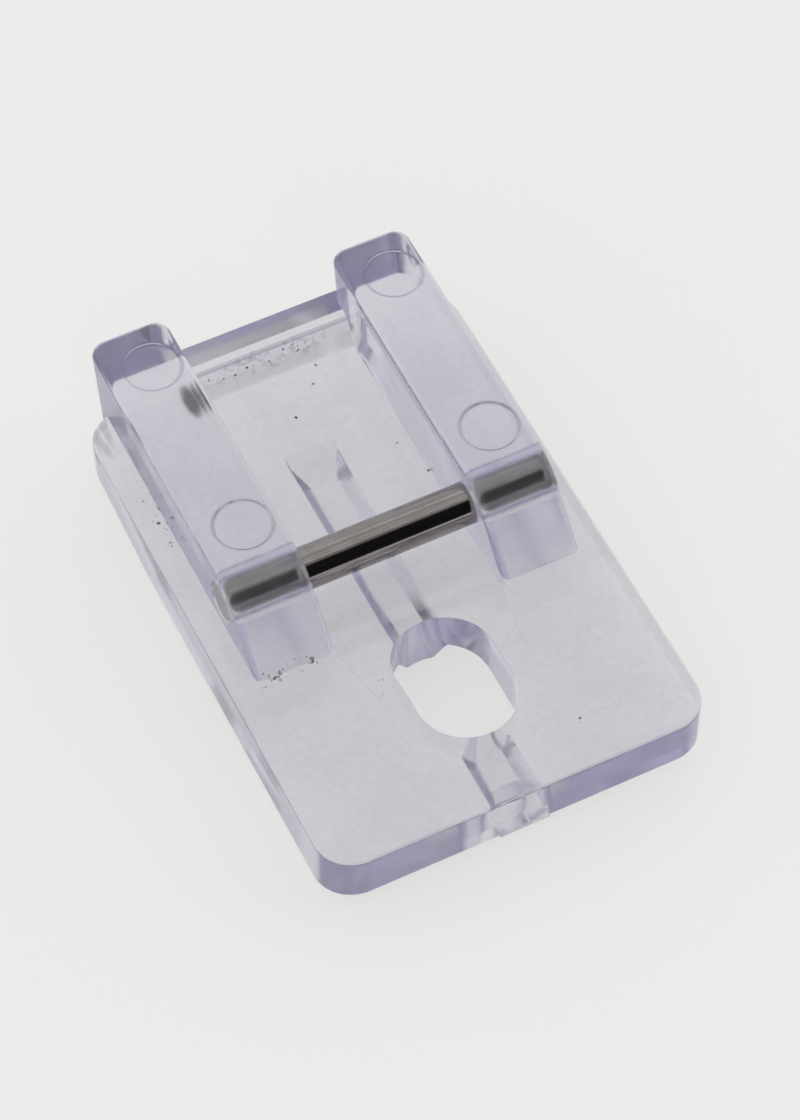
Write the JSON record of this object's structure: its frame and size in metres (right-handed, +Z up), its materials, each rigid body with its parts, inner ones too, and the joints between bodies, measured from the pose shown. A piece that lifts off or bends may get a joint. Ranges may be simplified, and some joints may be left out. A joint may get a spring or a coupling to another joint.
{
  "type": "sewing machine presser foot",
  "caption": "Clear moulded clip-on presser foot with side rails, an oval needle hole, a lifted heel and a steel cross pin that clips into the sewing machine's ankle.",
  "frame": {"origin": "under the middle of the foot in plan, at the height of the centre rib's lowest face", "axes": "+X across the foot along the cross pin, -Y towards the toe, +Z up"},
  "size_m": [0.0214, 0.0326, 0.0081],
  "materials": {
    "clear_plastic": "clear, faintly violet, polished moulding",
    "pin_steel": "drawn wire, fine lines along the pin"
  },
  "bodies": {
    "root": {"clear_foot": "clear_plastic", "cross_pin": "pin_steel"}
  },
  "joints": []
}
